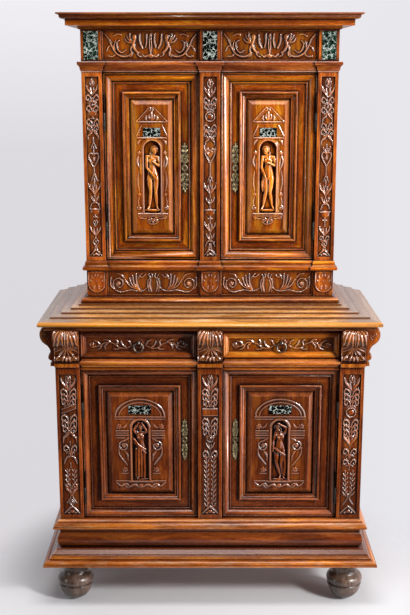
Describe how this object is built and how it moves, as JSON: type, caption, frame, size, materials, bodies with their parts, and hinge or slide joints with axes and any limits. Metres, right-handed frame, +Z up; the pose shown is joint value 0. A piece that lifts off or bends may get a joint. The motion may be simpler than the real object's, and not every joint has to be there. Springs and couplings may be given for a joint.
{
  "type": "two-body buffet",
  "caption": "Carved walnut two-body buffet with panelled cupboard doors above and below, drawers under a stepped ledge, inset marble plaques and turned bun feet.",
  "frame": {"origin": "on the floor under the middle of the buffet", "axes": "+Z up, the front faces -Y, +X to the right of someone who faces it"},
  "size_m": [1.15, 0.52, 2.006],
  "materials": {
    "walnut": "old waxed walnut, reddish brown, worn on the edges",
    "oak_boards": "unfinished sawn oak boards, darkened with age",
    "green_marble": "polished dark green marble with white veins",
    "old_brass": "cast brass, tarnished, rubbed on the high spots",
    "iron": "forged iron, dark"
  },
  "bodies": {
    "carcass": {"bun_feet": "walnut", "plinth": "walnut", "torus_frieze": "walnut", "base_cap_moulding": "walnut", "lower_floor_board": "oak_boards", "lower_pilaster_left": "walnut", "lower_pilaster_middle": "walnut", "lower_pilaster_right": "walnut", "lower_left_side": "walnut", "lower_right_side": "walnut", "lower_back_boards": "oak_boards", "shelves": "oak_boards", "drawer_rails": "walnut", "console_left": "walnut", "console_middle": "walnut", "console_right": "walnut", "ledge": "walnut", "upper_base_moulding": "walnut", "upper_floor_board": "oak_boards", "upper_pilaster_left": "walnut", "upper_pilaster_middle": "walnut", "upper_pilaster_right": "walnut", "frieze_marble_plaques": "green_marble", "upper_left_side": "walnut", "upper_right_side": "walnut", "upper_back_boards": "oak_boards", "lower_frieze": "walnut", "top_frieze": "walnut", "sill_moulding": "walnut", "capital_moulding": "walnut", "cornice": "walnut", "hinge_pins": "iron"},
    "upper_left_door": {"upper_left_door_frame": "walnut", "upper_left_door_panel": "walnut", "upper_left_door_plaque": "green_marble", "upper_left_door_fittings": "old_brass"},
    "upper_left_bolt": {"upper_left_door_lock_bolt": "iron"},
    "upper_right_door": {"upper_right_door_frame": "walnut", "upper_right_door_panel": "walnut", "upper_right_door_plaque": "green_marble", "upper_right_door_fittings": "old_brass"},
    "upper_right_bolt": {"upper_right_door_lock_bolt": "iron"},
    "lower_left_door": {"lower_left_door_frame": "walnut", "lower_left_door_panel": "walnut", "lower_left_door_plaque": "green_marble", "lower_left_door_fittings": "old_brass"},
    "lower_left_bolt": {"lower_left_door_lock_bolt": "iron"},
    "lower_right_door": {"lower_right_door_frame": "walnut", "lower_right_door_panel": "walnut", "lower_right_door_plaque": "green_marble", "lower_right_door_fittings": "old_brass"},
    "lower_right_bolt": {"lower_right_door_lock_bolt": "iron"},
    "left_drawer": {"left_drawer_front": "walnut", "left_drawer_box": "oak_boards", "left_drawer_pull_plate": "old_brass"},
    "left_ring": {"left_drawer_ring": "old_brass"},
    "right_drawer": {"right_drawer_front": "walnut", "right_drawer_box": "oak_boards", "right_drawer_pull_plate": "old_brass"},
    "right_ring": {"right_drawer_ring": "old_brass"}
  },
  "joints": [
    {"name": "upper_left_door_hinge", "type": "hinge", "parent": "carcass", "child": "upper_left_door", "pos_m": [-0.3445, -0.095, 0], "axis": [0, 0, -1], "range_deg": [0, 150]},
    {"name": "upper_left_bolt_slide", "type": "slide", "parent": "upper_left_door", "child": "upper_left_bolt", "axis": [1, 0, 0], "range_m": [0, 0.014]},
    {"name": "upper_right_door_hinge", "type": "hinge", "parent": "carcass", "child": "upper_right_door", "pos_m": [0.3445, -0.095, 0], "axis": [0, 0, 1], "range_deg": [0, 150]},
    {"name": "upper_right_bolt_slide", "type": "slide", "parent": "upper_right_door", "child": "upper_right_bolt", "axis": [-1, 0, 0], "range_m": [0, 0.014]},
    {"name": "lower_left_door_hinge", "type": "hinge", "parent": "carcass", "child": "lower_left_door", "pos_m": [-0.4305, -0.197, 0], "axis": [0, 0, -1], "range_deg": [0, 150]},
    {"name": "lower_left_bolt_slide", "type": "slide", "parent": "lower_left_door", "child": "lower_left_bolt", "axis": [1, 0, 0], "range_m": [0, 0.014]},
    {"name": "lower_right_door_hinge", "type": "hinge", "parent": "carcass", "child": "lower_right_door", "pos_m": [0.4305, -0.197, 0], "axis": [0, 0, 1], "range_deg": [0, 150]},
    {"name": "lower_right_bolt_slide", "type": "slide", "parent": "lower_right_door", "child": "lower_right_bolt", "axis": [-1, 0, 0], "range_m": [0, 0.014]},
    {"name": "left_drawer_slide", "type": "slide", "parent": "carcass", "child": "left_drawer", "axis": [0, -1, 0], "range_m": [0, 0.3]},
    {"name": "left_ring_swing", "type": "hinge", "parent": "left_drawer", "child": "left_ring", "pos_m": [-0.238, -0.2, 0.947], "axis": [-1, 0, 0], "range_deg": [0, 95]},
    {"name": "right_drawer_slide", "type": "slide", "parent": "carcass", "child": "right_drawer", "axis": [0, -1, 0], "range_m": [0, 0.3]},
    {"name": "right_ring_swing", "type": "hinge", "parent": "right_drawer", "child": "right_ring", "pos_m": [0.238, -0.2, 0.947], "axis": [-1, 0, 0], "range_deg": [0, 95]}
  ]
}
